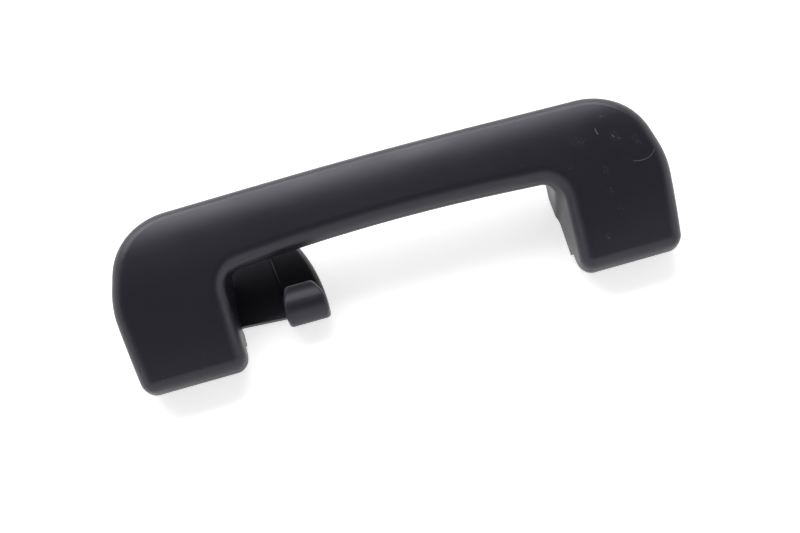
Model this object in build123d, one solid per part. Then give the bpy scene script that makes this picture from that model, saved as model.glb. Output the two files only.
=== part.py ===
from build123d import *
import math
import os

os.makedirs("parts", exist_ok=True)

# A spring-return roof grab handle with a coat hook. Sizes are in millimetres.
# X runs along the grip, Y from the hinge line of the feet toward the grip bar,
# and Z away from the roof. Z = 0 is the roof face of the brackets and the origin
# lies midway between the two fixing holes.

# Fixing
hole_spacing = 182.0
foot_x = hole_spacing / 2
screw_hole_r = 3.3
sleeve_r = 5.0
sleeve_len = 9.0

# Hinge
hinge_y = -19.5
hinge_z = 10.0
end_r = 9.5
end_tilt = 30.0
pin_r = 2.5
pin_end_gap = 0.4
pin_edge = 0.4
swing = 70.0
toe_margin = 4.0
running_gap = 0.08
press_gap = 0.01
side_gap = 0.6

# Bow seen from the front
foot_half = 21.5
belly_bulge = 2.4
belly_y = 4.5
belly_r = 36.0
shoulder_in = 6.2
shoulder_drop = 1.7
shoulder_r = 27.0
bar_top_y = 38.2
bar_height = 28.0
bar_arc_r = 1800.0
elbow_flare = 0.8
elbow_drop = 3.2
elbow_r = 8.5

# Bow seen from the end
front_r = 150.0
crown_r = 45.0
crown_y = 19.5
nose_r = 5.9
rim_z = 0.6
bar_back_z = 21.0
edge_r = 5.5
back_edge_r = 4.5
end_stop = 290.0
rise_angle = 50.0
rise_from_y = 11.5
rise_run = 20.0
arch_angle = 86.0
arch_run = 4.5
arch_gap = 0.2

# Bow inside
wall = 2.8
pocket_end_y = 14.0
pocket_corner_r = 3.0
pocket_belly_in = 1.6
pocket_top_in = 4.2
mouth_angle = 42.0
lug_r = 7.2
lug_len = 5.1
pin_grip = 4.0
snap_in = 0.35
channel_r = 4.0
channel_end_x = 62.0
channel_drop = 1.2
needle_r = 0.8
needle_in_x = 3.0
needle_in_y = 4.0
needle_fall = 6.0
rib_t = 1.8
rib_half_low = 3.0
rib_half_high = 3.6
rib_below = 2.6
rib_above = 12.0
rib_from_leg = 1.4
leg_gap = 0.12

# Bracket
plate_t = 4.6
plate_gap = 2.2
plate_top_y = 11.0
plate_corner_r = 3.0
boss_r = 8.0
ear_t = 3.0
ear_r = 5.5
ear_back_y = 3.0
ear_lean = 50.0

# Screw cover caps
cap_gap = 0.08
cap_wall = 1.5
cap_room = 0.8
cap_edge = 0.7
nick_w = 5.0
nick_deep = 1.1
nick_h = 2.0

# Stop buffers
buffer_in_y = 3.4
buffer_gap = 0.5
buffer_head_r = 2.4
buffer_stem_r = 1.4
buffer_head_h = 1.8
buffer_edge = 0.6
stem_short = 0.4
stop_gap = 0.1

# Coat hook
hook_plate_t = 2.4
hook_gap = 19.0
hook_width = 17.5
hook_lean = 9.0
hook_left_lean = 3.5
hook_low_y = -9.5
hook_high_y = 26.0
hook_strip_t = 3.4
hook_round = 1.6
hook_bend_r = 7.6
hook_bend_y = -8.4
hook_lip = 7.7
hook_lip_r = 16.0
hook_lip_left = 2.2
hook_lip_right = 3.8
hook_corner_r = 2.4
hook_bend_corner_r = 3.4
hook_side_r = 14.0
hook_tongue_y = 8.6
hook_tongue_in = 1.5
tongue_gap = 0.1
hook_cover = 0.8
hook_cover_y = 17.0
notch_gap = 0.6

# Return spring
wire_r = 0.65
coil_r = 3.75
full_turns = 3
coil_pitch = 1.7
spring_leg = 9.6
leg_angle = 20.0
fixed_leg = 9.8
fixed_angle = 264.0
hook_in = 3.6

# Rotary damper
damper_r = 5.6
damper_room = 1.8
flange_gap = 1.0
end_wall = 1.4
chamber_r = 4.7
rotor_r = 3.4
vane_r = 4.55
vane_t = 1.6
flange_t = 2.2
flange_r = 5.2
tab_w = 4.0
tab_r = 9.4
tab_angle = 45.0
cap_depth = 1.2
seal_t = 0.8
seal_deep = 0.8
rotor_gap = 0.1
rotor_out = 0.6
vane_gap = 0.2
cap_flange = 0.6
key_in = 1.0
key_toe = 0.7
key_gap = 0.6
key_lean = 6.0
key_top_angle = 350.0
fork_side = 0.3
fork_from = 2.2
fork_len = 14.0
fork_slot = 20.0
tab_gap = 0.2

# How far the cutters run past the bow
cut_reach = 30.0

# Shared values that follow from the sizes above
foot_in = foot_x - foot_half
foot_out = foot_x + foot_half
belly_out = foot_out + belly_bulge
shoulder_out = foot_out - shoulder_in
elbow_out = foot_in + elbow_flare
shell_in_r = end_r - wall
shell_end = 270 - mouth_angle
toe_angle = shell_end + swing + toe_margin
lug_in = foot_half - wall - lug_len
ear_out = lug_in - side_gap
ear_in = ear_out - ear_t
pin_half = lug_in + pin_grip
plate_low_y = hinge_y + hinge_z / math.tan(math.radians(360 - toe_angle))
boss_h = sleeve_len
deep_y = hinge_y - cut_reach
buffer_y = plate_top_y - buffer_in_y
buffer_ring = boss_r + cap_gap + cap_wall + buffer_gap + buffer_head_r
buffer_x = math.sqrt(buffer_ring**2 - buffer_y**2)
damper_end_x = damper_room - ear_in
flange_x = ear_in - damper_room - flange_t
damper_open_x = flange_x - flange_gap
hook_left_x = hook_gap - foot_in
hook_right_x = hook_left_x + hook_width
hook_end_y = hook_bend_y - hook_bend_r
hook_plan_y = hook_end_y - notch_gap
tongue_low_y = hook_low_y + hook_tongue_in


def turn(angle, radius):
    """Return the Y, Z point at a radius from the hinge axis, its angle taken from +Y."""
    a = math.radians(angle)
    return (hinge_y + radius * math.cos(a), hinge_z + radius * math.sin(a))


def front_z(y, inset=0.0):
    """Return the height of the bow's front face, or of a face that far inside it, at y."""
    start_y, start_z = turn(90 + end_tilt, end_r)
    a = math.radians(end_tilt)
    centre_y = start_y + front_r * math.sin(a)
    centre_z = start_z - front_r * math.cos(a)
    r = front_r - inset
    if y > crown_y:
        lean = (crown_y - centre_y) / front_r
        centre_y += (front_r - crown_r) * lean
        centre_z += (front_r - crown_r) * math.sqrt(1 - lean * lean)
        r = crown_r - inset
    return centre_z + math.sqrt(r * r - (y - centre_y) ** 2)


def front_arc(y0, y1):
    """Return the arc of the front face between two places on one side of its crown."""
    points = [(y, front_z(y)) for y in (y0, (y0 + y1) / 2, y1)]
    return ThreePointArc(*points)


def both_sides(half):
    """Return plan points of the right half followed by their mirror images."""
    return half + [(-x, y) for x, y in reversed(half[:-1])]


def carried_on(x, past):
    """Return the plan point at deep_y on the line from past through (x, hinge_y)."""
    slope = (past[0] - x) / (past[1] - hinge_y)
    return (x + slope * (deep_y - hinge_y), deep_y)


def outer_outline():
    """Return the bow's outer outline, from under the right foot round to the left."""
    belly = (belly_out, belly_y)
    half = [carried_on(foot_out, belly), belly, (shoulder_out, bar_top_y - shoulder_drop)]
    half += [(0, bar_top_y + shoulder_drop * 0.38)]
    radii = [belly_r, shoulder_r, bar_arc_r, shoulder_r, belly_r]
    return FilletPolyline(*both_sides(half), radius=radii)


def inner_outline():
    """Return the outline of the hand opening, from under one foot to under the other."""
    low_y = bar_top_y - bar_height
    elbow = (elbow_out, low_y - elbow_drop)
    half = [carried_on(foot_in, elbow), elbow, (0, low_y + elbow_drop * 0.45)]
    radii = [elbow_r, bar_arc_r * 0.4, elbow_r]
    return FilletPolyline(*both_sides(half), radius=radii)


def plan_prism():
    """Return the bow's outline seen from the front as an upright block."""
    outer = outer_outline()
    inner = inner_outline()
    ends = [Line(outer @ 0, inner @ 0), Line(outer @ 1, inner @ 1)]
    face = make_face(Wire(outer.edges() + inner.edges() + [e.edge() for e in ends]))
    return extrude(Pos(0, 0, -cut_reach) * face, 3 * cut_reach)


def front_prism():
    """Return everything behind the bow's front face and round the end of its feet."""
    low = turn(180, end_r)
    last = turn(end_stop, end_r)
    deep = turn(end_stop, end_r + cut_reach / 2)
    top = bar_top_y + 4
    wide = foot_out + cut_reach
    tip = (low[0], front_z(low[0]))
    outline = front_arc(top, crown_y) + front_arc(crown_y, low[0])
    outline += Line(tip, low) + ThreePointArc(low, turn((180 + end_stop) / 2, end_r), last)
    outline += Polyline(last, deep, (top, deep[1]), (top, front_z(top)))
    face = make_face(outline)
    face = fillet(face.vertices().sort_by(Axis.X)[0], nose_r)
    return extrude(Plane.YZ.offset(-wide) * face, 2 * wide)


def on_front(edge):
    """Tell whether an edge lies where the front face or a foot's end meets a side."""
    for k in (0.1, 0.5, 0.9):
        p = edge @ k
        off_end = abs(math.hypot(p.Y - hinge_y, p.Z - hinge_z) - end_r)
        off_front = abs(p.Z - front_z(p.Y)) if p.Y > hinge_y - end_r / 2 else end_r
        if min(off_end, off_front) > 0.02:
            return False
    return edge.geom_type != GeomType.LINE


def slope_up(low, high, angle):
    """Return a line slanted by an angle from a low point, levelled out by an arc at a high one."""
    way = 1 if high[0] > low[0] else -1
    a = math.radians(angle)
    run = abs(high[0] - low[0])
    rise = high[1] - low[1]
    r = (run - rise / math.tan(a)) / (math.sin(a) - (1 - math.cos(a)) / math.tan(a))
    start = (high[0] - way * r * math.sin(a), high[1] - r * (1 - math.cos(a)))
    middle = (high[0] - way * r * math.sin(a / 2), high[1] - r * (1 - math.cos(a / 2)))
    return Line(low, start) + ThreePointArc(start, middle, high)


def rise_cutter():
    """Return what is cut from behind the feet where they rise to the back of the bar."""
    low = (rise_from_y, rim_z)
    high = (rise_from_y + rise_run, bar_back_z)
    far = bar_top_y + cut_reach
    wide = foot_out + cut_reach
    outline = Polyline((deep_y, -cut_reach), (deep_y, rim_z), low)
    outline += slope_up(low, high, rise_angle)
    outline += Polyline(high, (far, bar_back_z), (far, -cut_reach), (deep_y, -cut_reach))
    return extrude(Plane.YZ.offset(-wide) * make_face(outline), 2 * wide)


def arch_cutter():
    """Return what is cut from behind the bar between the two feet."""
    foot = foot_in - arch_gap
    flat = foot - arch_run
    outline = slope_up((-foot, rim_z), (-flat, bar_back_z), arch_angle)
    outline += Line((-flat, bar_back_z), (flat, bar_back_z))
    outline += slope_up((foot, rim_z), (flat, bar_back_z), arch_angle)
    outline += Polyline((foot, rim_z), (foot, -cut_reach), (-foot, -cut_reach), (-foot, rim_z))
    far = bar_top_y + cut_reach
    return extrude(Pos(0, far, 0) * (Plane.XZ * make_face(outline)), 2 * far)


def bow_skin():
    """Return the bow as one solid, its edges rolled at the front and behind the bar."""
    block = (plan_prism() & front_prism()).solids()[0]
    block = block.fillet(edge_r, [e for e in block.edges() if on_front(e)])
    skin = (block - rise_cutter() - arch_cutter()).solids()[0]
    back = [e for e in skin.edges() if abs((e @ 0.5).Z - bar_back_z) < 0.001]
    high = [e for e in back if (e @ 0.5).Y > rise_from_y + rise_run + 0.5]
    middle_y = bar_top_y - bar_height / 2
    flat = foot_in - arch_gap - arch_run
    low = [e for e in back if (e @ 0.5).Y < middle_y and abs((e @ 0.5).X) < flat - 0.5]
    return skin.fillet(back_edge_r, high + low)


def foot_pocket(side):
    """Return the hollow of a foot, open toward the roof and under the hinge."""
    out_y = plate_low_y - cut_reach
    past_y = pocket_end_y + pocket_corner_r
    plan = [(foot_in + wall, out_y), (foot_out - wall, out_y)]
    plan += [(foot_out - wall, hinge_y), (belly_out - wall - pocket_belly_in, belly_y)]
    plan += [(belly_out - wall - pocket_top_in, pocket_end_y), (foot_in + wall, pocket_end_y)]
    flat = make_face(FilletPolyline(*plan, radius=pocket_corner_r, close=True))
    block = extrude(Pos(0, 0, -cut_reach) * flat, 3 * cut_reach)
    start = turn(90 + end_tilt, shell_in_r)
    middle = turn((90 + end_tilt + shell_end) / 2, shell_in_r)
    end = turn(shell_end, shell_in_r)
    far = turn(shell_end, end_r + cut_reach / 2)
    roof_y = (past_y + start[0]) / 2
    roof = ThreePointArc((past_y, front_z(past_y, wall)), (roof_y, front_z(roof_y, wall)), start)
    outline = ThreePointArc(start, middle, end) + Polyline(end, far, (past_y, far[1]), roof @ 0) + roof
    face = Plane.YZ.offset(foot_in) * make_face(outline)
    hollow = block & extrude(face, 2 * foot_half + belly_bulge)
    return hollow if side > 0 else mirror(hollow, Plane.YZ)


def yz_plate(points, x, thickness, radius=0.0):
    """Return a plate of that Y, Z outline, starting at x and growing along +X."""
    if radius:
        outline = FilletPolyline(*points, radius=radius, close=True)
    else:
        outline = Polyline(*points, close=True)
    return extrude(Plane.YZ.offset(x) * make_face(outline), thickness)


def x_rod(radius, x0, x1, y=hinge_y, z=hinge_z):
    """Return a round rod along X."""
    return extrude(Plane.YZ.offset(x0) * Pos(y, z) * Circle(radius), x1 - x0)


def pin_lugs(side):
    """Return the two lugs of a foot, solid, reaching inward from its side walls."""
    centre = side * foot_x
    reach = foot_half + belly_bulge
    low = x_rod(lug_r, centre - reach, centre - lug_in)
    return low + x_rod(lug_r, centre + lug_in, centre + reach)


def pin_sockets(side):
    """Return the space for a pin in both lugs, with its snap-in slot to the back."""
    centre = side * foot_x
    reach = pin_half + pin_end_gap
    bore = x_rod(pin_r + running_gap, centre - reach, centre + reach)
    half = pin_r - snap_in
    slot = Pos(centre, hinge_y, hinge_z - lug_r) * Box(2 * reach, 2 * half, 2 * lug_r)
    return bore + slot


def stop_rib(side):
    """Return the cross rib that rests over a foot's buffer."""
    x = side * foot_x + (buffer_x if side > 0 else -buffer_x)
    low = plate_t + buffer_head_h + stop_gap
    high = front_z(buffer_y)
    block = Box(buffer_head_r * 1.6, rib_t, high - low)
    return Pos(x, buffer_y, (low + high) / 2) * block


def spring_rib():
    """Return the rib on the left foot that holds the end of the spring's free leg."""
    y, z = leg_end()
    x = -foot_x + coil_length() / 2 + rib_from_leg
    points = [(y - rib_half_low, z - rib_below), (y + rib_half_low, z - rib_below)]
    points += [(y + rib_half_high, z + rib_above), (y - rib_half_high, z + rib_above)]
    rib = yz_plate(points, x, rib_t)
    return rib - x_rod(wire_r + leg_gap, x, x + rib_t, y, z)


def damper_fork():
    """Return the fork on the right foot that drives the tab of the damper's rotor."""
    slot_w = tab_w + tab_gap
    fork_t = flange_t + 2 * fork_side
    block = Box(fork_t, slot_w + 2 * rib_t, fork_len)
    fork = Pos(0, 0, flange_r + fork_from + fork_len / 2) * block - Box(fork_t, slot_w, 2 * fork_slot)
    fork = Rot(tab_angle - 90, 0, 0) * fork
    return Pos(foot_x + flange_x + flange_t / 2, hinge_y, hinge_z) * fork


def gas_channel():
    """Return the closed hollow of the bar, with its needle hole into the left foot."""
    y = bar_top_y - bar_height / 2
    z = (front_z(y) + bar_back_z) / 2
    low_y = y - channel_drop
    path = ThreePointArc((-channel_end_x, low_y, z), (0, y, z), (channel_end_x, low_y, z))
    mouth = Plane(path @ 0, z_dir=path % 0)
    hollow = sweep(mouth * Circle(channel_r), path=path)
    hollow += Pos(*(path @ 0)) * Sphere(channel_r)
    hollow += Pos(*(path @ 1)) * Sphere(channel_r)
    needle_to = Vector(-foot_in - wall - needle_in_x, pocket_end_y - needle_in_y, z - needle_fall)
    start = path @ 0
    needle = Plane(start, z_dir=needle_to - start) * Circle(needle_r)
    return hollow + extrude(needle, (needle_to - start).length)


def hook_notch():
    """Return the gap in the left foot's inner wall that the coat hook passes through."""
    high = hook_plate_t + notch_gap
    low_y = hook_low_y - notch_gap
    room = Box(4 * wall, hook_tongue_y - low_y + notch_gap, 2 * high)
    return Pos(-foot_in, (hook_tongue_y + notch_gap + low_y) / 2, 0) * room


def make_bow():
    """Return the bow: one moulding of the grip bar and its two hollow feet."""
    skin = bow_skin()
    inside = spring_rib() + damper_fork()
    for side in (1, -1):
        inside += pin_lugs(side) + stop_rib(side)
    bow = skin - foot_pocket(1) - foot_pocket(-1)
    bow += inside & skin
    bow -= pin_sockets(1) + pin_sockets(-1)
    bow -= gas_channel()
    return bow - hook_notch()


def ear_outline():
    """Return the Y, Z face of a bracket ear: a round eye on a leg to the plate."""
    toe = turn(toe_angle, ear_r)
    leg = [toe, (plate_low_y, 0), (ear_back_y, 0), (ear_back_y, plate_t)]
    leg += [turn(ear_lean, ear_r), (hinge_y, hinge_z)]
    face = make_face(Polyline(*leg, close=True))
    return face + Pos(hinge_y, hinge_z) * Circle(ear_r)


def make_bracket(side):
    """Return one bracket: plate, screw boss and the two ears that carry the pin."""
    half = foot_half - wall - plate_gap
    middle = (plate_top_y + plate_low_y) / 2
    plan = RectangleRounded(2 * half, plate_top_y - plate_low_y, plate_corner_r)
    bracket = extrude(Pos(0, middle) * plan, plate_t)
    bracket += extrude(Circle(boss_r), boss_h)
    ear = Plane.YZ * ear_outline()
    for x in (-ear_out, ear_out - ear_t):
        bracket += extrude(Pos(x, 0, 0) * ear, ear_t)
    bracket -= extrude(Circle(sleeve_r + press_gap), boss_h)
    bracket -= x_rod(pin_r + press_gap, -ear_out - 1, ear_out + 1)
    out = 1 if side > 0 else -1
    bracket -= Pos(out * buffer_x, buffer_y) * extrude(Circle(buffer_stem_r + press_gap), plate_t)
    if side < 0:
        bracket -= Pos(foot_x, 0, 0) * hook_tongue(tongue_gap)
    return Pos(side * foot_x, 0, 0) * bracket


def make_sleeve(side):
    """Return a steel sleeve that takes the clamping load of a fixing screw."""
    ring = Circle(sleeve_r) - Circle(screw_hole_r)
    return Pos(side * foot_x, 0, 0) * extrude(ring, sleeve_len)


def make_cover_cap(side):
    """Return a snap-on cup that hides a fixing screw, with a nick to lift it by."""
    bore = boss_r + cap_gap
    top = boss_h + cap_room
    cup = Pos(0, 0, plate_t) * extrude(Circle(bore + cap_wall), top - plate_t + cap_wall)
    cup -= Pos(0, 0, plate_t) * extrude(Circle(bore), top - plate_t)
    cup = chamfer(cup.edges().sort_by(Axis.Z)[-1], cap_edge)
    nick = Pos(0, bore + cap_wall, plate_t + nick_h / 2) * Box(nick_w, 2 * nick_deep, nick_h)
    return Pos(side * foot_x, 0, 0) * (cup - nick)


def make_buffer(side):
    """Return a rubber stop: a domed head on a stem pushed into the bracket."""
    head = extrude(Circle(buffer_head_r), buffer_head_h)
    head = chamfer(head.edges().sort_by(Axis.Z)[-1], buffer_edge)
    stem = Pos(0, 0, stem_short - plate_t) * extrude(Circle(buffer_stem_r), plate_t - stem_short)
    x = side * (foot_x + buffer_x)
    return Pos(x, buffer_y, plate_t) * (head + stem)


def make_hinge_pin(side):
    """Return a steel hinge pin with broken ends."""
    pin = x_rod(pin_r, side * foot_x - pin_half, side * foot_x + pin_half)
    return chamfer(pin.edges(), pin_edge)


def hook_tongue(extra=0.0):
    """Return the tongue that the left bracket clamps, or its room with extra around it."""
    left = -foot_x - buffer_x + buffer_stem_r + notch_gap
    width = hook_left_x + hook_round - left
    height = hook_tongue_y - tongue_low_y
    plan = Rectangle(width + extra, height + 2 * extra, align=(Align.MIN, Align.MIN))
    return extrude(Pos(left - extra, tongue_low_y - extra) * plan, hook_plate_t + extra)


def hook_edge(x, lean):
    """Return one edge of the hook's plate, upright at the bend and leaning toward the bar."""
    rise = hook_high_y - hook_bend_y
    r = (lean * lean + rise * rise) / (2 * abs(lean))
    half = math.asin(rise / r) / 2
    way = 1 if lean > 0 else -1
    middle = (x - way * r * (1 - math.cos(half)), hook_bend_y + r * math.sin(half))
    return ThreePointArc((x - lean, hook_high_y), middle, (x, hook_bend_y))


def hook_strip_plan():
    """Return the outline of the hook's strip, down to the far side of its bend."""
    low_y = hook_plan_y
    left = hook_edge(hook_left_x, hook_left_lean)
    right = hook_edge(hook_right_x, hook_lean)
    outline = left + right + Line(left @ 0, right @ 0)
    outline += Polyline(left @ 1, (hook_left_x, low_y), (hook_right_x, low_y), right @ 1)
    face = make_face(outline)
    return fillet(face.vertices().group_by(Axis.Y)[0], hook_bend_corner_r)


def hook_lip_plan():
    """Return the outline of the hook's lip, narrower toward its rounded tip."""
    low_y = hook_plan_y
    tip_y = hook_bend_y + hook_lip
    points = [(hook_left_x, low_y), (hook_left_x, hook_bend_y), (hook_left_x + hook_lip_left, tip_y)]
    points += [(hook_right_x - hook_lip_right, tip_y), (hook_right_x, hook_bend_y)]
    points += [(hook_right_x, low_y)]
    face = make_face(Polyline(*points, close=True))
    rows = face.vertices().group_by(Axis.Y)
    face = fillet(rows[0], hook_bend_corner_r)
    face = fillet(face.vertices().group_by(Axis.Y)[-1], hook_corner_r)
    sides = [v for v in face.vertices() if abs(v.Y - hook_bend_y) < 0.001]
    return fillet(sides, hook_side_r)


def hook_band():
    """Return the strip, its bend and a long lip as one curled band that is still too wide."""
    low = hook_plate_t - hook_round
    top = low + 2 * hook_bend_r
    in_r = hook_bend_r - hook_strip_t
    a = math.asin((hook_lip + hook_strip_t) / hook_lip_r)
    rows = []
    for r in (hook_lip_r, hook_lip_r - hook_strip_t):
        row = [(r * math.sin(k * a), r * math.cos(k * a)) for k in (0, 0.5, 1)]
        rows.append([(hook_bend_y + y, top - hook_lip_r + z) for y, z in row])
    outer, inner = rows
    outline = Line((hook_high_y, low), (hook_bend_y, low))
    outline += ThreePointArc((hook_bend_y, low), (hook_end_y, low + hook_bend_r), outer[0])
    outline += ThreePointArc(*outer) + Line(outer[2], inner[2]) + ThreePointArc(*inner)
    far = (hook_bend_y - in_r, low + hook_bend_r)
    outline += ThreePointArc(inner[0], far, (hook_bend_y, low + hook_strip_t))
    end = (hook_high_y, low + hook_strip_t)
    outline += Polyline((hook_bend_y, low + hook_strip_t), end, (hook_high_y, low))
    face = Plane.YZ.offset(hook_left_x - hook_lean) * make_face(outline)
    return extrude(face, hook_width + 2 * hook_lean)


def hook_j():
    """Return the curled band trimmed to its strip and lip outlines, with rounded edges."""
    middle = hook_plate_t - hook_round + hook_bend_r
    low = extrude(Pos(0, 0, middle) * hook_strip_plan(), -2 * hook_bend_r)
    high = extrude(Pos(0, 0, middle) * hook_lip_plan(), 2 * hook_bend_r)
    band = (hook_band() & (low + high)).solids()[0]
    edges = [e for e in band.edges() if abs((e % 0.5).X) < 0.8 and (e @ 0.5).Y < hook_high_y - 0.1]
    return band.fillet(hook_round, edges)


def make_coat_hook():
    """Return the fixed coat hook, clamped under the left bracket."""
    left_x = hook_cover - foot_in
    right = hook_edge(hook_right_x, hook_lean)
    plan = [right @ 0, (left_x + hook_high_y - hook_cover_y, hook_high_y), (left_x, hook_cover_y)]
    plan += [(left_x, tongue_low_y), (hook_left_x + 2, hook_low_y)]
    plan += [(hook_right_x - hook_round, hook_low_y), right @ 1]
    outline = right + Polyline(*plan)
    hook = extrude(make_face(outline), hook_plate_t) + hook_tongue() + hook_j()
    hook -= Pos(-foot_x, 0, 0) * extrude(Circle(sleeve_r + tongue_gap), hook_plate_t)
    return hook


def coil_length():
    """Return the length of the coil, which ends part of a turn past its whole turns."""
    return coil_pitch * (full_turns + (fixed_angle - 90 - leg_angle) / 360)


def leg_end():
    """Return the Y, Z point where the spring's free leg turns into the bow's rib."""
    a = math.radians(leg_angle)
    y, z = turn(90 + leg_angle, coil_r)
    return y + spring_leg * math.cos(a), z + spring_leg * math.sin(a)


def wire_rod(start, end):
    """Return a straight length of the spring's wire."""
    way = Vector(*end) - Vector(*start)
    return extrude(Plane(start, z_dir=way) * Circle(wire_r), way.length)


def make_return_spring():
    """Return the torsion spring round the left pin, with one leg on each side."""
    length = coil_length()
    coil = Helix(pitch=coil_pitch, height=length, radius=coil_r, lefthand=True)
    wire = sweep(Plane(coil @ 0, z_dir=coil % 0) * Circle(wire_r), path=coil)
    wire = Rot(fixed_angle - 270, 0, 0) * Rot(0, 90, 0) * wire
    low_x = -foot_x - length / 2
    high_x = -foot_x + length / 2
    wire = Pos(low_x, hinge_y, hinge_z) * wire
    a = math.radians(fixed_angle - 180)
    y, z = turn(fixed_angle, coil_r)
    foot = (low_x, y + fixed_leg * math.sin(a), z - fixed_leg * math.cos(a))
    wire += wire_rod((low_x, y, z), foot)
    bend = (high_x, *leg_end())
    wire += wire_rod((high_x, *turn(90 + leg_angle, coil_r)), bend)
    wire += Pos(*bend) * Sphere(wire_r)
    wire += wire_rod(bend, (high_x + hook_in, bend[1], bend[2]))
    return wire


def make_damper_housing():
    """Return the damper's barrel, with its key on the right bracket's plate."""
    barrel = x_rod(damper_r, damper_end_x, damper_open_x)
    key = [turn(toe_angle + key_lean, damper_r - key_in), (plate_low_y + key_toe, plate_t)]
    key += [(-boss_r - cap_gap - cap_wall - key_gap, plate_t), turn(key_top_angle, damper_r - key_in)]
    barrel += yz_plate(key, damper_end_x, damper_open_x - damper_end_x)
    barrel -= x_rod(chamber_r, damper_end_x + end_wall, damper_open_x)
    barrel -= x_rod(rotor_r + rotor_gap, damper_end_x, damper_open_x)
    inner_face = damper_end_x + end_wall
    barrel -= x_rod(rotor_r + seal_deep, inner_face - seal_t, inner_face)
    return Pos(foot_x, 0, 0) * barrel


def make_damper_seal():
    """Return the ring that keeps the damper's grease in, square in section."""
    inner_face = damper_end_x + end_wall
    ring = x_rod(rotor_r + seal_deep - press_gap, inner_face - seal_t, inner_face)
    ring -= x_rod(rotor_r + running_gap / 2, inner_face - seal_t, inner_face)
    return Pos(foot_x, 0, 0) * ring


def make_damper_rotor():
    """Return the rotor: a sleeve with two vanes and a drive tab held by the bow."""
    x0 = damper_end_x - rotor_out
    rotor = x_rod(rotor_r, x0, flange_x + flange_t)
    vane_x0 = damper_end_x + end_wall + vane_gap
    vane_x1 = damper_open_x - cap_depth - vane_gap
    vane = Pos((vane_x0 + vane_x1) / 2, hinge_y, hinge_z) * Box(vane_x1 - vane_x0, vane_t, 2 * vane_r)
    rotor += vane
    rotor += x_rod(flange_r, flange_x, flange_x + flange_t)
    tab = Pos(0, 0, tab_r / 2) * Box(flange_t, tab_w, tab_r)
    rotor += Pos(flange_x + flange_t / 2, hinge_y, hinge_z) * Rot(tab_angle - 90, 0, 0) * tab
    rotor -= x_rod(pin_r + running_gap, x0 - 1, flange_x + flange_t + 1)
    return Pos(foot_x, 0, 0) * rotor


def make_damper_cap():
    """Return the ring that closes the open end of the damper's barrel."""
    ring = x_rod(chamber_r - press_gap, damper_open_x - cap_depth, damper_open_x)
    ring += x_rod(damper_r, damper_open_x, damper_open_x + cap_flange)
    ring -= x_rod(rotor_r + rotor_gap, damper_open_x - cap_depth, damper_open_x + cap_flange)
    return Pos(foot_x, 0, 0) * ring


export_step(make_bow(), "parts/bow.step")
for name, side in (("left", -1), ("right", 1)):
    export_step(make_bracket(side), f"parts/{name}_bracket.step")
    export_step(make_sleeve(side), f"parts/{name}_screw_sleeve.step")
    export_step(make_cover_cap(side), f"parts/{name}_cover_cap.step")
    export_step(make_buffer(side), f"parts/{name}_stop_buffer.step")
    export_step(make_hinge_pin(side), f"parts/{name}_hinge_pin.step")
export_step(make_coat_hook(), "parts/coat_hook.step")
export_step(make_return_spring(), "parts/return_spring.step")
export_step(make_damper_housing(), "parts/damper_housing.step")
export_step(make_damper_rotor(), "parts/damper_rotor.step")
export_step(make_damper_cap(), "parts/damper_cap.step")
export_step(make_damper_seal(), "parts/damper_seal.step")
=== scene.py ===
"""Dress a spring-return roof grab handle: finishes, return spring, studio and camera."""

import logging
import math
from dataclasses import dataclass, field
from enum import Enum
from typing import Sequence

import bpy
import numpy as np
from mathutils import Matrix, Vector


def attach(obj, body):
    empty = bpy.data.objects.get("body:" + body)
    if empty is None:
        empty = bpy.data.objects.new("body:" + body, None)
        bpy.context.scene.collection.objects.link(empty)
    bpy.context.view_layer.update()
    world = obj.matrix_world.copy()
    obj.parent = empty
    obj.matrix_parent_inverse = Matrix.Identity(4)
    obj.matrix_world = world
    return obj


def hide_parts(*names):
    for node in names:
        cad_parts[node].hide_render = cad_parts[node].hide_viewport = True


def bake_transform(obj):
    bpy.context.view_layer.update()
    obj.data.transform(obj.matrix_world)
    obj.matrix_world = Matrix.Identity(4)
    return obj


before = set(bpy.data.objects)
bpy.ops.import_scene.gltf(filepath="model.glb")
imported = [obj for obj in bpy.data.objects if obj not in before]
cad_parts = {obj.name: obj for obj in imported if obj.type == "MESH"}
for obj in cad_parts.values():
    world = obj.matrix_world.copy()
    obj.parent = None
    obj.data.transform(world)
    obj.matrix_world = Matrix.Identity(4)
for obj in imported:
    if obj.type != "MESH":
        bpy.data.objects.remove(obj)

LOG = logging.getLogger("grab_handle")
MM = 0.001
# A Mix node has sockets of one name for each of its types, so those for colours go by number
MIX_BELOW, MIX_ABOVE, MIX_RESULT = 6, 7, 2
Colour = tuple[float, float, float]
Point = tuple[float, float, float]
Socket = bpy.types.NodeSocket
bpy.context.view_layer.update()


class End(Enum):
    """The two ends of the handle, by the sign of X."""

    LEFT = -1
    RIGHT = 1


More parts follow.
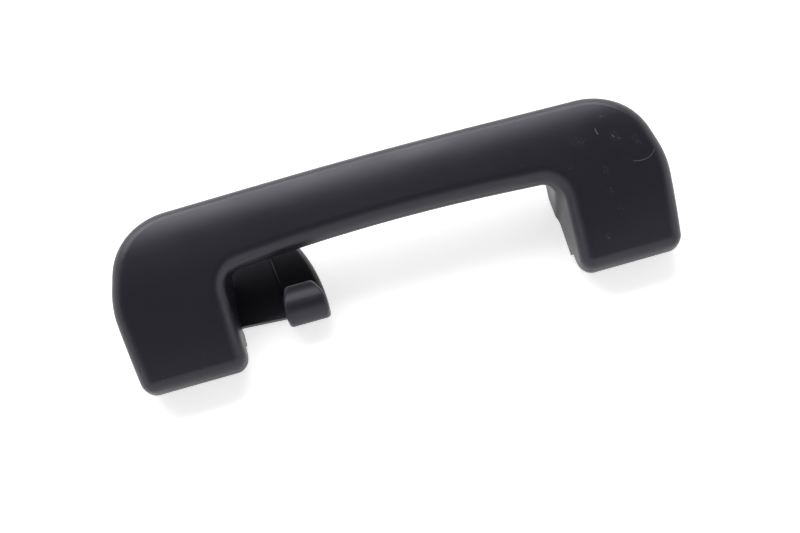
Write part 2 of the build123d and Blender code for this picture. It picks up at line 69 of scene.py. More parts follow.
class ShaderGraph:
    """A material's node tree with short calls for the nodes that the finishes use."""

    def __init__(self, name: str) -> None:
        """Start an empty tree with a Principled shader joined to the output.

        Args:
            name: the material's name.
        """
        self.material = bpy.data.materials.new(name)
        self.material.use_nodes = True
        self.tree = self.material.node_tree
        self.tree.nodes.clear()
        self.output = self.add("ShaderNodeOutputMaterial")
        self.shader = self.add("ShaderNodeBsdfPrincipled")
        self.tree.links.new(self.shader.outputs["BSDF"], self.output.inputs["Surface"])
        self.place = self.add("ShaderNodeTexCoord").outputs["Object"]

    def add(self, kind: str, **options: object) -> bpy.types.Node:
        """Add one node.

        Args:
            kind: Blender's identifier of the node.
            options: properties to set on it.

        Returns:
            The new node.
        """
        node = self.tree.nodes.new(kind)
        for key, value in options.items():
            setattr(node, key, value)
        return node

    def put(self, socket: Socket, value: object) -> None:
        """Link a socket to an output, or write a plain value on it.

        Args:
            socket: the input to fill.
            value: an output socket or a plain value.
        """
        if isinstance(value, bpy.types.NodeSocket):
            self.tree.links.new(value, socket)
        else:
            socket.default_value = value

    def math(self, operation: str, a: object, b: object = 0.0, clamp: bool = False) -> Socket:
        """Return the result of one Math node.

        Args:
            operation: the node's operation.
            a: first operand, an output or a number.
            b: second operand, an output or a number.
            clamp: whether to keep the result between 0 and 1.

        Returns:
            The result's socket.
        """
        node = self.add("ShaderNodeMath", operation=operation, use_clamp=clamp)
        self.put(node.inputs[0], a)
        self.put(node.inputs[1], b)
        return node.outputs[0]

    def vector(
        self, operation: str, a: object, b: object = (0, 0, 0), scale: object = 1.0
    ) -> bpy.types.Node:
        """Return one Vector Math node with its operands set.

        Args:
            operation: the node's operation.
            a: first vector, an output or a triple.
            b: second vector, an output or a triple.
            scale: the factor of a Scale operation.

        Returns:
            The node, whose outputs are Vector and Value.
        """
        node = self.add("ShaderNodeVectorMath", operation=operation)
        self.put(node.inputs[0], a)
        if operation == "SCALE":
            self.put(node.inputs["Scale"], scale)
        elif operation != "LENGTH":
            self.put(node.inputs[1], b)
        return node

    def steps(
        self, value: Socket, low: float, high: float, to: tuple[float, float] = (0.0, 1.0)
    ) -> Socket:
        """Map a value smoothly from one range to another.

        Args:
            value: the socket that is mapped.
            low: input that gives the first result.
            high: input that gives the second result.
            to: the two results.

        Returns:
            The mapped value's socket.
        """
        node = self.add("ShaderNodeMapRange", interpolation_type="SMOOTHSTEP")
        keys = ("Value", "From Min", "From Max", "To Min", "To Max")
        for key, item in zip(keys, (value, low, high, *to)):
            self.put(node.inputs[key], item)
        return node.outputs["Result"]

    def scaled(self, factors: Point) -> Socket:
        """Return the object's coordinates multiplied along each axis."""
        return self.vector("MULTIPLY", self.place, factors).outputs["Vector"]

    def noise(
        self, scale: float, detail: float = 2.0, rough: float = 0.5, at: Socket | None = None
    ) -> Socket:
        """Return a cloudy noise between 0 and 1.

        Args:
            scale: blobs per metre.
            detail: octaves.
            rough: weight of the finer octaves.
            at: coordinates, the object's own where none are given.

        Returns:
            The noise's socket.
        """
        node = self.add("ShaderNodeTexNoise")
        values = {"Vector": at or self.place, "Scale": scale, "Detail": detail, "Roughness": rough}
        for key, item in values.items():
            self.put(node.inputs[key], item)
        return node.outputs[0]

    def flecks(self, scale: float, size: float, share: float) -> Socket:
        """Return a mask of small round specks that sit in some cells of a Voronoi pattern.

        Args:
            scale: cells per metre.
            size: a speck's radius as a share of its cell.
            share: how many of the cells hold a speck, from 0 to 1.

        Returns:
            The mask's socket, 1 in a speck.
        """
        cells = self.add("ShaderNodeTexVoronoi", feature="F1")
        self.put(cells.inputs["Vector"], self.place)
        self.put(cells.inputs["Scale"], scale)
        pick = self.add("ShaderNodeSeparateColor")
        self.put(pick.inputs[0], cells.outputs["Color"])
        chosen = self.math("LESS_THAN", pick.outputs[0], share)
        radius = self.math("MULTIPLY", pick.outputs[1], size)
        near = self.math("LESS_THAN", cells.outputs["Distance"], radius)
        return self.math("MULTIPLY", chosen, near)

    def height(self) -> Socket:
        """Return the object's Z coordinate."""
        split = self.add("ShaderNodeSeparateXYZ")
        self.put(split.inputs[0], self.place)
        return split.outputs["Z"]

    def over(self, below: object, above: object, amount: object) -> Socket:
        """Lay one colour over another.

        Args:
            below: the colour underneath.
            above: the colour on top.
            amount: how much of the top shows.

        Returns:
            The joined colour's socket.
        """
        node = self.add("ShaderNodeMix", data_type="RGBA", blend_type="MIX")
        self.put(node.inputs["Factor"], amount)
        for socket, colour in ((MIX_BELOW, below), (MIX_ABOVE, above)):
            self.put(node.inputs[socket], (*colour, 1.0) if isinstance(colour, tuple) else colour)
        return node.outputs[MIX_RESULT]

    def bump(self, height: Socket, depth: float, strength: float, under: Socket | None = None) -> Socket:
        """Return a normal tilted by a height map.

        Args:
            height: the height map, from 0 to 1.
            depth: metres between its lowest and highest points.
            strength: the share of it that shows.
            under: a normal that this one is laid on.

        Returns:
            The normal's socket.
        """
        node = self.add("ShaderNodeBump")
        self.put(node.inputs["Height"], height)
        self.put(node.inputs["Distance"], depth)
        self.put(node.inputs["Strength"], strength)
        if under is not None:
            self.put(node.inputs["Normal"], under)
        return node.outputs["Normal"]

    def finish(self, **values: object) -> bpy.types.Material:
        """Fill the shader's sockets and return the material.

        Args:
            values: socket names, with underscores for spaces, and what each one gets.

        Returns:
            The finished material.
        """
        for key, value in values.items():
            socket = self.shader.inputs[key.replace("_", " ")]
            if isinstance(value, tuple) and len(value) == 3 and socket.type == "RGBA":
                value = (*value, 1.0)
            self.put(socket, value)
        return self.material


@dataclass(frozen=True)
class Scratch:
    """A fine pale scratch that follows a few points of the front face, in millimetres."""

    points: tuple[tuple[float, float], ...]
    width: float = 0.16
    strength: float = 0.6
    core: float = 0.3
    fringe: float = 1.3

    def mask(self, graph: ShaderGraph) -> Socket:
        """Return the scratch's mask, from its strength at its nearest leg down to 0.

        It fades between core and fringe, as shares of half its width. The distance to a
        leg from a to b is that to a + t (b - a), where t is the point's place along the
        leg, kept between 0 and 1. Z is left out.

        Args:
            graph: the material's graph.

        Returns:
            The mask's socket.
        """
        flat = graph.scaled((1.0, 1.0, 0.0))
        nearest: Socket | None = None
        for a, b in zip(self.points, self.points[1:]):
            start = (a[0] * MM, a[1] * MM, 0.0)
            leg = ((b[0] - a[0]) * MM, (b[1] - a[1]) * MM, 0.0)
            square = leg[0] ** 2 + leg[1] ** 2
            away = graph.vector("SUBTRACT", flat, start).outputs["Vector"]
            along = graph.vector("DOT_PRODUCT", away, leg).outputs["Value"]
            share = graph.math("DIVIDE", along, square, clamp=True)
            foot = graph.vector("SCALE", leg, scale=share).outputs["Vector"]
            gap = graph.vector("DISTANCE", away, foot).outputs["Value"]
            nearest = gap if nearest is None else graph.math("MINIMUM", nearest, gap)
        half = self.width * MM / 2
        return graph.steps(nearest, half * self.core, half * self.fringe, (self.strength, 0.0))


@dataclass(frozen=True)
class Scuff:
    """A small patch of broken pale marks on the front face, in millimetres."""

    centre: tuple[float, float]
    radius: float = 1.6
    grain: float = 1500.0
    strength: float = 0.25
    core: float = 0.3
    peaks: tuple[float, float] = (0.56, 0.66)

    def mask(self, graph: ShaderGraph) -> Socket:
        """Return the patch's mask: the peaks of a fine noise, fading out from its centre.

        Args:
            graph: the material's graph.

        Returns:
            The mask's socket.
        """
        middle = (self.centre[0] * MM, self.centre[1] * MM, 0.0)
        away = graph.vector("DISTANCE", graph.scaled((1.0, 1.0, 0.0)), middle).outputs["Value"]
        edge = self.radius * MM
        fade = graph.steps(away, edge * self.core, edge, (self.strength, 0.0))
        return graph.math("MULTIPLY", fade, graph.steps(graph.noise(self.grain), *self.peaks))


@dataclass(frozen=True)
class SoftTouchMoulding:
    """The bow's finely grained satin plastic, with dust specks and a few scratches.

    Wear shows on the front only: it comes in between two heights, in millimetres. Scales
    are in cells per metre and depths in metres.
    """

    name: str = "satin_charcoal"
    colour: Colour = (0.0086, 0.0081, 0.0142)
    worn: Colour = (0.0130, 0.0124, 0.0200)
    pale: Colour = (0.30, 0.30, 0.34)
    gleam: Colour = (0.92, 0.91, 1.0)
    roughness: float = 0.38
    front_from: float = 14.0
    front_to: float = 19.0
    cloud_scale: float = 38.0
    speck_scale: float = 520.0
    dust_scale: float = 230.0
    grain_scale: float = 2400.0
    grain_depth: float = 0.00005
    pore_scale: float = 5200.0
    pore_depth: float = 0.00002
    scratches: tuple[Scratch, ...] = ()
    scuffs: tuple[Scuff, ...] = ()

    def make(self) -> bpy.types.Material:
        """Return the material."""
        g = ShaderGraph(self.name)
        clouds = g.noise(self.cloud_scale, 3.0, 0.55)
        body = g.over(self.colour, self.worn, g.steps(clouds, 0.42, 0.68, (0.0, 0.55)))
        specks = g.math("MULTIPLY", g.flecks(self.speck_scale, 0.14, 0.07), 0.16)
        dust = g.math("MULTIPLY", g.flecks(self.dust_scale, 0.045, 0.10), 0.50)
        marks = g.math("MAXIMUM", specks, dust)
        front = g.steps(g.height(), self.front_from * MM, self.front_to * MM)
        for wear in (*self.scratches, *self.scuffs):
            marks = g.math("MAXIMUM", marks, g.math("MULTIPLY", wear.mask(g), front))
        colour = g.over(body, self.pale, marks)
        grain = g.noise(self.grain_scale, 2.0, 0.6)
        pores = g.noise(self.pore_scale, 1.0)
        normal = g.bump(grain, self.grain_depth, 0.16)
        normal = g.bump(pores, self.pore_depth, 0.12, normal)
        rough = g.steps(clouds, 0.35, 0.75, (self.roughness + 0.03, self.roughness - 0.05))
        return g.finish(Base_Color=colour, Roughness=rough, Normal=normal, Specular_Tint=self.gleam)


@dataclass(frozen=True)
class HookMoulding:
    """The coat hook's black plastic: glossy on the plate and satin on the curled lip. Its colour is lighter
    on the lip and darker on the plate: painted light on the lip, which faces up toward the lamp, and painted
    shade on the plate, which lies under the grip.

    The plate's rounded rim toward +X is painted a light grey, on its side and on a narrow band of its face: a
    painted highlight for the floor's light that the rounded rim reflects. The rim is an arc about rim_centre.
    Its side is where the normal's X passes rim_turn. Lengths are in millimetres.
    """

    name: str = "hook_black"
    # The plate's colour is darkened as painted shade from the grip above it
    colour: Colour = (0.0060, 0.0058, 0.0080)
    # The lip's colour is lightened as painted light on its upward face
    lip_lit_colour: Colour = (0.0135, 0.0130, 0.0200)
    dust: Colour = (0.25, 0.25, 0.27)
    plate_roughness: float = 0.36
    lip_roughness: float = 0.40
    lip_from: float = 5.0
    lip_to: float = 8.0
    # Light grey painted on the +X rim: a painted highlight, not wear
    rim_painted_highlight: Colour = (0.16, 0.155, 0.145)
    rim_centre: tuple[float, float] = (-103.2, -8.4)
    rim_r: float = 70.2
    rim_w: float = 2.4
    rim_turn: tuple[float, float] = (0.03, 0.30)
    flow_scales: Point = (180.0, 60.0, 60.0)
    gleam: Colour = (0.88, 0.87, 1.0)

    def make(self) -> bpy.types.Material:
        """Return the material."""
        g = ShaderGraph(self.name)
        share = g.steps(g.height(), self.lip_from * MM, self.lip_to * MM)
        rough = g.math("MULTIPLY_ADD", share, self.lip_roughness - self.plate_roughness)
        rough.node.inputs[2].default_value = self.plate_roughness
        specks = g.math("MULTIPLY", g.flecks(420.0, 0.05, 0.08), 0.35)
        # The split by height paints light on the lip and shade on the plate; the pale specks laid on top are
        # dust
        colour = g.over(g.over(self.colour, self.lip_lit_colour, share), self.dust, specks)
        facing = g.add("ShaderNodeSeparateXYZ")
        g.put(facing.inputs[0], g.add("ShaderNodeNewGeometry").outputs["Normal"])
        middle = (self.rim_centre[0] * MM, self.rim_centre[1] * MM, 0.0)
        out = g.vector("DISTANCE", g.scaled((1.0, 1.0, 0.0)), middle).outputs["Value"]
        # The band along the rim and the +X-facing side are where the painted highlight goes
        band = g.steps(out, (self.rim_r - self.rim_w) * MM, (self.rim_r - self.rim_w / 2) * MM)
        side = g.steps(facing.outputs["X"], *self.rim_turn)
        rim_highlight_mask = g.math("MULTIPLY", g.math("MAXIMUM", side, band), g.math("SUBTRACT", 1.0, share))
        # Lay the painted highlight over the plate's rim
        colour = g.over(colour, self.rim_painted_highlight, rim_highlight_mask)
        flow = g.noise(1.0, at=g.scaled(self.flow_scales))
        normal = g.bump(flow, 0.00012, 0.10)
        normal = g.bump(g.noise(2600.0, 1.0), 0.00002, 0.08, normal)
        return g.finish(Base_Color=colour, Roughness=rough, Normal=normal, Specular_Tint=self.gleam)


@dataclass(frozen=True)
class FilledPlastic:
    """A plain moulded plastic whose short glass fibres show as faint pale streaks."""

    name: str
    colour: Colour
    roughness: float = 0.5
    streak: float = 0.18
    fibre_scales: Point = (900.0, 220.0, 420.0)

    def make(self) -> bpy.types.Material:
        """Return the material."""
        g = ShaderGraph(self.name)
        fibres = g.noise(1.0, 3.0, 0.65, g.scaled(self.fibre_scales))
        clouds = g.noise(90.0)
        pale = tuple(min(1.0, c * 1.9 + 0.02) for c in self.colour)
        colour = g.over(self.colour, pale, g.steps(fibres, 0.56, 0.80, (0.0, self.streak)))
        rough = g.steps(clouds, 0.3, 0.7, (self.roughness - 0.05, self.roughness + 0.06))
        return g.finish(Base_Color=colour, Roughness=rough, Normal=g.bump(fibres, 0.00004, 0.2))


class Grind(Enum):
    """The direction in which a metal's fine lines run, as stretch factors per metre."""

    ROUND_X = (5200.0, 160.0, 160.0)
    UP_Z = (420.0, 420.0, 60.0)
    ALL_WAYS = (700.0, 700.0, 700.0)


@dataclass(frozen=True)
class Steel:
    """A plated or ground steel with fine lines and slightly uneven plating."""

    name: str
    colour: Colour
    tint: Colour
    roughness: float
    grind: Grind

    def make(self) -> bpy.types.Material:
        """Return the material."""
        g = ShaderGraph(self.name)
        lines = g.noise(1.0, 2.0, 0.6, g.scaled(self.grind.value))
        clouds = g.noise(260.0)
        colour = g.over(self.colour, self.tint, g.steps(clouds, 0.40, 0.68))
        rough = g.steps(lines, 0.3, 0.7, (self.roughness - 0.06, self.roughness + 0.08))
        normal = g.bump(lines, 0.00002, 0.25)
        return g.finish(Base_Color=colour, Roughness=rough, Normal=normal, Metallic=1.0)


@dataclass(frozen=True)
class MouldedRubber:
    """Black rubber with a dull bloom in its low places."""

    name: str = "stop_rubber"
    colour: Colour = (0.012, 0.012, 0.012)
    bloom: Colour = (0.05, 0.05, 0.048)
    roughness: float = 0.78

    def make(self) -> bpy.types.Material:
        """Return the material."""
        g = ShaderGraph(self.name)
        lows = g.noise(700.0, 3.0, 0.6)
        colour = g.over(self.colour, self.bloom, g.steps(lows, 0.5, 0.8, (0.0, 0.5)))
        return g.finish(Base_Color=colour, Roughness=self.roughness, Normal=g.bump(lows, 0.00005, 0.3))


@dataclass(frozen=True)
class WaxyPlastic:
    """The rotor's natural plastic, slightly see-through and waxy."""

    name: str = "natural_acetal"
    colour: Colour = (0.58, 0.565, 0.50)
    pale: Colour = (0.66, 0.645, 0.60)
    roughness: float = 0.36
    glow_depth: Point = (0.001, 0.0009, 0.0007)

    def make(self) -> bpy.types.Material:
        """Return the material."""
        g = ShaderGraph(self.name)
        colour = g.over(self.colour, self.pale, g.steps(g.noise(200.0), 0.35, 0.7))
        return g.finish(
            Base_Color=colour,
            Roughness=self.roughness,
            Subsurface_Weight=0.2,
            Subsurface_Radius=self.glow_depth,
            Subsurface_Scale=1.0,
        )


BRACKET_PLASTIC = FilledPlastic("bracket_black", (0.030, 0.030, 0.031), 0.52)
CAP_PLASTIC = FilledPlastic("cap_charcoal", (0.020, 0.020, 0.024), 0.46, 0.05)
DAMPER_PLASTIC = FilledPlastic("damper_grey", (0.085, 0.087, 0.092), 0.42, 0.12)
ZINC_PLATED = Steel("zinc_plated", (0.62, 0.63, 0.62), (0.55, 0.58, 0.66), 0.34, Grind.UP_Z)
GROUND_PIN = Steel("ground_pin", (0.58, 0.58, 0.59), (0.50, 0.50, 0.52), 0.22, Grind.ROUND_X)
DRAWN_WIRE = Steel("drawn_wire", (0.40, 0.40, 0.41), (0.28, 0.28, 0.30), 0.34, Grind.ALL_WAYS)


def dress(node: str, material: bpy.types.Material) -> None:
    """Give a CAD node its material.

    Args:
        node: the node's name.
        material: what all its slots get.
    """
    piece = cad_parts[node]
    for slot in piece.material_slots:
        slot.material = material
    LOG.info("dressed %s with %s", node, material.name)


def show(name: str, data: bpy.types.ID) -> bpy.types.Object:
    """Return a new object of a mesh, lamp or camera, linked to the scene."""
    made = bpy.data.objects.new(name, data)
    bpy.context.scene.collection.objects.link(made)
    return made


def swept_tube(
    name: str, path: np.ndarray, across: np.ndarray, radius: float, sides: int
) -> bpy.types.Object:
    """Return a closed round tube along a path.

    A point of the skin is path(s) + r (cos u n(s) + sin u b(s)), where s runs along the
    path, u goes round from 0 to 2 pi, n is the given cross direction made square to the
    path's tangent t, and b = t x n. Each end is closed by a ring drawn to a point.

    Args:
        name: the object's name.
        path: stations along the middle, one row each, in metres.
        across: a direction across the path at each station.
        radius: the tube's radius.
        sides: how many points go round.

    Returns:
        The new object, at the origin.
    """
    tangent = np.gradient(path, axis=0)
    tangent /= np.linalg.norm(tangent, axis=1, keepdims=True)
    normal = across - (across * tangent).sum(1, keepdims=True) * tangent
    normal /= np.linalg.norm(normal, axis=1, keepdims=True)
    other = np.cross(tangent, normal)
    u = np.linspace(0.0, 2 * math.pi, sides, endpoint=False)
    ring = np.cos(u)[:, None] * normal[:, None, :] + np.sin(u)[:, None] * other[:, None, :]
    skin = (path[:, None, :] + radius * ring).reshape(-1, 3)
    count = len(path)
    row = np.arange(count - 1)[:, None] * sides
    col = np.arange(sides)[None, :]
    nxt = (col + 1) % sides
    quads = np.stack([row + col, row + nxt, row + sides + nxt, row + sides + col], axis=-1).reshape(-1, 4)
    low, high = count * sides, count * sides + 1
    turn = np.arange(sides)
    back = np.stack([np.full(sides, low), np.roll(turn, -1), turn], axis=1)
    last = (count - 1) * sides
    front = np.stack([np.full(sides, high), last + turn, last + np.roll(turn, -1)], axis=1)
    points = np.vstack([skin, path[0], path[-1]])
    mesh = bpy.data.meshes.new(name)
    mesh.from_pydata(points.tolist(), [], quads.tolist() + back.tolist() + front.tolist())
    mesh.polygons.foreach_set("use_smooth", np.ones(len(mesh.polygons), bool))
    mesh.update()
    return show(name, mesh)


def prism(name: str, outline: Sequence[tuple[float, float]], low: float, high: float) -> bpy.types.Object:
    """Return an upright prism on a plan outline.

    Args:
        name: the object's name.
        outline: plan points in order, in millimetres, anticlockwise from above.
        low: height of its foot in millimetres.
        high: height of its top in millimetres.

    Returns:
        The new object, at the origin.
    """
    plan = np.array(outline)
    count = len(plan)
    rings = [np.column_stack([plan, np.full(count, z)]) for z in (low, high)]
    sides = [(i, (i + 1) % count, count + (i + 1) % count, count + i) for i in range(count)]
    ends = [tuple(range(count))[::-1], tuple(range(count, 2 * count))]
    mesh = bpy.data.meshes.new(name)
    mesh.from_pydata((np.vstack(rings) * MM).tolist(), [], sides + ends)
    mesh.update()
    return show(name, mesh)


@dataclass
class Bow:
    """The one-piece bow: grip bar and two hollow feet."""

    scratches: tuple[Scratch, ...] = (
        Scratch(
            ((99.4, 4.1), (101.8, 3.5), (104.2, 3.5), (106.0, 3.9), (107.4, 4.6), (108.6, 5.6), (109.3, 6.4)),
            width=0.20,
            strength=0.50,
        ),
        Scratch(((88.7, 20.2), (88.7, 18.9), (89.1, 17.7)), 0.30, 0.62),
        Scratch(((94.5, 16.1), (94.9, 15.0)), 0.34, 0.50),
        Scratch(((96.1, 14.3), (97.5, 13.8)), 0.24, 0.34),
    )
    scuffs: tuple[Scuff, ...] = (
        Scuff((93.0, 24.2), 1.8, 1500.0, 0.26),
        Scuff((95.4, 15.4), 2.6, 1700.0, 0.34),
        Scuff((102.8, 12.2), 2.2, 1500.0, 0.20),
        Scuff((103.8, 10.2), 1.4, 1500.0, 0.20),
        Scuff((87.8, 3.7), 1.8, 1500.0, 0.30),
        Scuff((74.5, 7.8), 1.6, 1500.0, 0.16),
        Scuff((87.0, -4.5), 2.2, 1500.0, 0.16),
        Scuff((89.5, -11.2), 1.8, 1500.0, 0.18),
        Scuff((81.8, -20.4), 2.0, 1500.0, 0.20),
        Scuff((97.6, 5.9), 2.4, 1500.0, 0.12),
        Scuff((80.4, 17.2), 5.0, 1300.0, 0.08),
    )

    def dress(self) -> None:
        """Give the bow its satin plastic with the scratches of the right foot."""
        dress("bow", SoftTouchMoulding(scratches=self.scratches, scuffs=self.scuffs).make())


@dataclass
class CoatHook:
    """The fixed hook beside the left foot, with a thin dark sheet under the foot that stands in for the shade
    in the gap there.
    """

    finish: HookMoulding = field(default_factory=HookMoulding)
    shade_sheet: tuple[tuple[float, float], ...] = ((-77.0, 8.6), (-68.6, 8.6), (-68.6, 18.4), (-71.2, 15.8))
    shade_sheet_t: float = 0.4

    def dress(self) -> None:
        """Give the hook its black plastic, and give the same plastic to the dark sheet that paints the shade
        under the foot.
        """
        plastic = self.finish.make()
        dress("coat_hook", plastic)
        # A thin dark sheet under the left foot, put there as painted shade so that the floor does not show
        # through the gap
        shade_sheet = prism("hook_shade_sheet", self.shade_sheet, 0.0, self.shade_sheet_t)
        shade_sheet.data.materials.append(plastic)
        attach(shade_sheet, "roof_mounts")


@dataclass
class RoofMount:
    """What one bracket carries: screw sleeve, cover cap, stop buffer and hinge pin."""

    end: End

    def dress(self, finishes: dict[str, bpy.types.Material]) -> None:
        """Give each piece of the mount its material.

        Args:
            finishes: material by the piece's name without its side.
        """
        for piece, material in finishes.items():
            dress(f"{self.end.name.lower()}_{piece}", material)


@dataclass
class ReturnSpring:
    """The torsion spring round the left pin, wound tighter as the bow swings out."""

    centre_x: float = -91.0
    axis_y: float = -19.5
    axis_z: float = 10.0
    wire_r: float = 0.65
    coil_r: float = 3.75
    pitch: float = 1.7
    whole_turns: int = 3
    fixed_angle: float = 264.0
    free_angle: float = 110.0
    fixed_leg: float = 9.8
    free_leg: float = 9.6
    hook_in: float = 3.6
    bend_r: float = 1.1
    sides: int = 20
    coil_stations: int = 260
    leg_stations: int = 14
    bend_stations: int = 10
    tail_stations: int = 5

    def turns(self) -> float:
        """Return how many turns the coil makes."""
        return self.whole_turns + (self.fixed_angle - self.free_angle) / 360

    def path(self) -> tuple[np.ndarray, np.ndarray]:
        """Work out the middle of the wire and a direction across it.

        The coil is x = s p n, angle = fixed - 360 n s for s from 0 to 1 (n turns of
        pitch p). Both legs leave it along its tangent. The free leg turns into +X by a
        quarter circle. Across is X on coil and legs; in the quarter circle and after it,
        it turns with the wire.

        Returns:
            Stations and cross directions, one row each, in millimetres.
        """
        half = self.turns() * self.pitch / 2
        s = np.linspace(0.0, 1.0, self.coil_stations)
        angle = np.radians(self.fixed_angle - 360 * self.turns() * s)
        along = s * 2 * half - half
        coil = np.stack([along, self.coil_r * np.cos(angle), self.coil_r * np.sin(angle)], 1)
        start = np.radians(self.fixed_angle)
        inward = np.array([0.0, math.sin(start), -math.cos(start)])
        run = np.linspace(-self.fixed_leg, 0.0, self.leg_stations)[:-1, None]
        fixed = coil[0] + run * inward
        a = math.radians(self.free_angle)
        outward = np.array([0.0, math.sin(a), -math.cos(a)])
        run = np.linspace(0.0, self.free_leg - self.bend_r, self.leg_stations)[1:, None]
        leg = coil[-1] + run * outward
        u = np.linspace(0.0, math.pi / 2, self.bend_stations)[1:, None]
        x_way = np.array([1.0, 0.0, 0.0])
        bend = leg[-1] + self.bend_r * (np.sin(u) * outward + (1 - np.cos(u)) * x_way)
        run = np.linspace(0.0, self.hook_in - self.bend_r, self.tail_stations)[1:, None]
        tail = bend[-1] + run * x_way
        steady = len(fixed) + len(coil) + len(leg)
        across = np.tile(x_way, (steady + len(bend) + len(tail), 1))
        across[steady : steady + len(bend)] = np.cos(u) * x_way - np.sin(u) * outward
        across[steady + len(bend) :] = -outward
        path = np.vstack([fixed, coil, leg, bend, tail])
        return path + np.array([self.centre_x, self.axis_y, self.axis_z]), across

    def build(self) -> None:
        """Build the wire and hide the CAD wire."""
        path, across = self.path()
        wire = swept_tube("return_spring_wire", path * MM, across, self.wire_r * MM, self.sides)
        wire.data.materials.append(DRAWN_WIRE.make())
        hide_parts("return_spring")
        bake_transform(wire)
        LOG.info("built %s: %.2f turns", wire.name, self.turns())


@dataclass
class RotaryDamper:
    """The grease damper round the right pin."""

    def dress(self, rubber: bpy.types.Material) -> None:
        """Give the damper's pieces their materials.

        Args:
            rubber: the seal's material.
        """
        natural = WaxyPlastic().make()
        dress("damper_housing", DAMPER_PLASTIC.make())
        dress("damper_rotor", natural)
        dress("damper_cap", natural)
        dress("damper_seal", rubber)


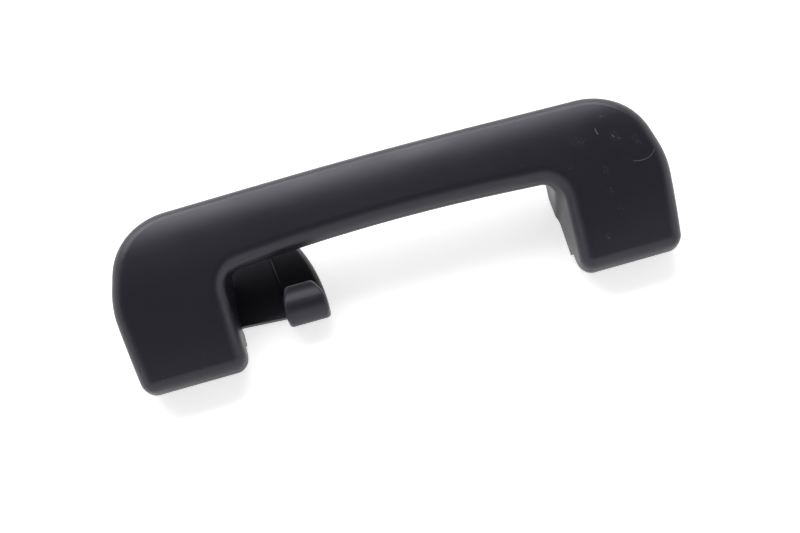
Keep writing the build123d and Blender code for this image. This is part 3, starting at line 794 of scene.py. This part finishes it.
@dataclass
class Studio:
    """A pale floor that curves up into a surround, one large soft lamp and a dim sky.

    Where the paper is seen or reflected it glows: the strength goes from the first value
    of lift to the second between lift_from and lift_to metres from the middle.
    """

    floor_r: float = 1.6
    wall_r: float = 3.2
    wall_h: float = 2.4
    floor_rings: int = 11
    wall_rings: int = 24
    sectors: int = 96
    floor_colour: Colour = (0.86, 0.86, 0.86)
    lift_from: float = 0.25
    lift_to: float = 1.6
    lift: tuple[float, float] = (0.64, 1.0)
    horizon: float = 0.95
    zenith: float = 0.22
    fade_from: float = 0.35
    fade_to: float = 0.90
    key_power: float = 12.5
    key_width: float = 1.4
    key_height: float = 0.6
    key_azimuth: float = 8.0
    key_elevation: float = 46.0
    key_distance: float = 1.05

    def surround(self) -> None:
        """Build floor and surround as one surface.

        The profile runs out along the floor to the corner and then up a quarter ellipse:
        r = R + (W - R) sin v, z = H (1 - cos v); it is carried round the Z axis.
        """
        v = np.linspace(0.0, math.pi / 2, self.wall_rings)
        floor = np.linspace(0.0, self.floor_r, self.floor_rings, endpoint=False)
        r = np.concatenate([floor, self.floor_r + (self.wall_r - self.floor_r) * np.sin(v)])
        z = np.concatenate([np.zeros(self.floor_rings), self.wall_h * (1 - np.cos(v))])
        u = np.linspace(0.0, 2 * math.pi, self.sectors, endpoint=False)
        rise = np.repeat(z[:, None], self.sectors, 1)
        points = np.stack([r[:, None] * np.cos(u), r[:, None] * np.sin(u), rise], -1)
        row = np.arange(1, len(r) - 1)[:, None] * self.sectors
        above = row + self.sectors
        col = np.arange(self.sectors)[None, :]
        nxt = (col + 1) % self.sectors
        quads = np.stack([row + col, above + col, above + nxt, row + nxt], -1).reshape(-1, 4)
        hub = np.zeros(self.sectors, int)
        fan = np.stack([hub, self.sectors + col[0], self.sectors + nxt[0]], 1)
        mesh = bpy.data.meshes.new("surround")
        mesh.from_pydata(points.reshape(-1, 3).tolist(), [], quads.tolist() + fan.tolist())
        mesh.polygons.foreach_set("use_smooth", np.ones(len(mesh.polygons), bool))
        made = show("surround", mesh)
        made.data.materials.append(self.paper())

    def paper(self) -> bpy.types.Material:
        """Return the surround's paper: pale, and lifted to white where it is seen or reflected."""
        g = ShaderGraph("studio_paper")
        g.finish(Base_Color=self.floor_colour, Roughness=0.9, Specular_IOR_Level=0.2)
        rays = g.add("ShaderNodeLightPath").outputs
        seen = g.math("MAXIMUM", rays["Is Camera Ray"], rays["Is Glossy Ray"])
        seen = g.math("MAXIMUM", seen, rays["Is Transmission Ray"])
        out = g.vector("LENGTH", g.scaled((1.0, 1.0, 0.0))).outputs["Value"]
        lift = g.steps(out, self.lift_from, self.lift_to, self.lift)
        g.put(g.shader.inputs["Emission Color"], (1.0, 1.0, 1.0, 1.0))
        g.put(g.shader.inputs["Emission Strength"], g.math("MULTIPLY", seen, lift))
        return g.material

    def lamp(self) -> None:
        """Hang the soft lamp, pointed at the handle.

        Its azimuth is in degrees from +Y, positive toward -X, and its elevation in
        degrees above the floor.
        """
        data = bpy.data.lights.new("key_softbox", "AREA")
        data.shape = "RECTANGLE"
        data.size, data.size_y = self.key_width, self.key_height
        data.energy = self.key_power
        lamp = show("key_softbox", data)
        a, e = math.radians(self.key_azimuth), math.radians(self.key_elevation)
        way = Vector((-math.sin(a) * math.cos(e), math.cos(a) * math.cos(e), math.sin(e)))
        lamp.location = way * self.key_distance
        lamp.rotation_mode = "QUATERNION"
        lamp.rotation_quaternion = way.to_track_quat("Z", "Y")

    def build(self) -> None:
        """Build the surround, the lamp and the sky."""
        self.surround()
        self.lamp()
        bpy.context.scene.world = self.sky()
        bpy.context.scene.view_settings.view_transform = "Standard"

    def sky(self) -> bpy.types.World:
        """Return a sky that is bright near the horizon and dim overhead."""
        world = bpy.data.worlds.new("sky")
        world.use_nodes = True
        tree = world.node_tree
        place = tree.nodes.new("ShaderNodeTexCoord")
        split = tree.nodes.new("ShaderNodeSeparateXYZ")
        fade = tree.nodes.new("ShaderNodeMapRange")
        fade.interpolation_type = "SMOOTHSTEP"
        tree.links.new(place.outputs["Generated"], split.inputs[0])
        tree.links.new(split.outputs["Z"], fade.inputs["Value"])
        span = (self.fade_from, self.fade_to, self.horizon, self.zenith)
        for key, value in zip(("From Min", "From Max", "To Min", "To Max"), span):
            fade.inputs[key].default_value = value
        background = tree.nodes["Background"]
        background.inputs["Color"].default_value = (1.0, 1.0, 1.0, 1.0)
        tree.links.new(fade.outputs["Result"], background.inputs["Strength"])
        return world


@dataclass
class PhotoCamera:
    """The photo's viewpoint, fitted to the handle's outline."""

    azimuth: float = -8.0
    elevation: float = 67.0
    roll: float = -8.203
    place: Point = (-0.02248, -0.15863, 0.37761)
    lens: float = 43.87
    sensor: float = 36.0
    clip: float = 0.01

    def build(self) -> None:
        """Make the camera and set it as the scene's."""
        data = bpy.data.cameras.new("photo_camera")
        data.sensor_width = self.sensor
        data.lens = self.lens
        data.clip_start = self.clip
        camera = show("photo_camera", data)
        a, e, r = (math.radians(v) for v in (self.azimuth, self.elevation, self.roll))
        back = Vector((math.sin(a) * math.cos(e), -math.cos(a) * math.cos(e), math.sin(e)))
        right = Vector((math.cos(a), math.sin(a), 0.0))
        up = back.cross(right)
        rolled = math.cos(r) * right + math.sin(r) * up
        upright = back.cross(rolled)
        turn = Matrix((rolled, upright, back)).transposed()
        camera.matrix_world = Matrix.Translation(self.place) @ turn.to_4x4()
        bpy.context.scene.camera = camera


def write_sizes() -> None:
    """Update the view layer; it writes nothing.
    """
    bpy.context.view_layer.update()


def main() -> None:
    """Build and dress the handle piece by piece, then the studio and the camera."""
    logging.basicConfig(level=logging.INFO, format="%(name)s %(message)s")
    rubber = MouldedRubber().make()
    mount_finishes = {
        "bracket": BRACKET_PLASTIC.make(),
        "screw_sleeve": ZINC_PLATED.make(),
        "cover_cap": CAP_PLASTIC.make(),
        "stop_buffer": rubber,
        "hinge_pin": GROUND_PIN.make(),
    }
    Bow().dress()
    CoatHook().dress()
    for end in End:
        RoofMount(end).dress(mount_finishes)
    ReturnSpring().build()
    RotaryDamper().dress(rubber)
    Studio().build()
    PhotoCamera().build()
    write_sizes()


if __name__ == "__main__":
    main()
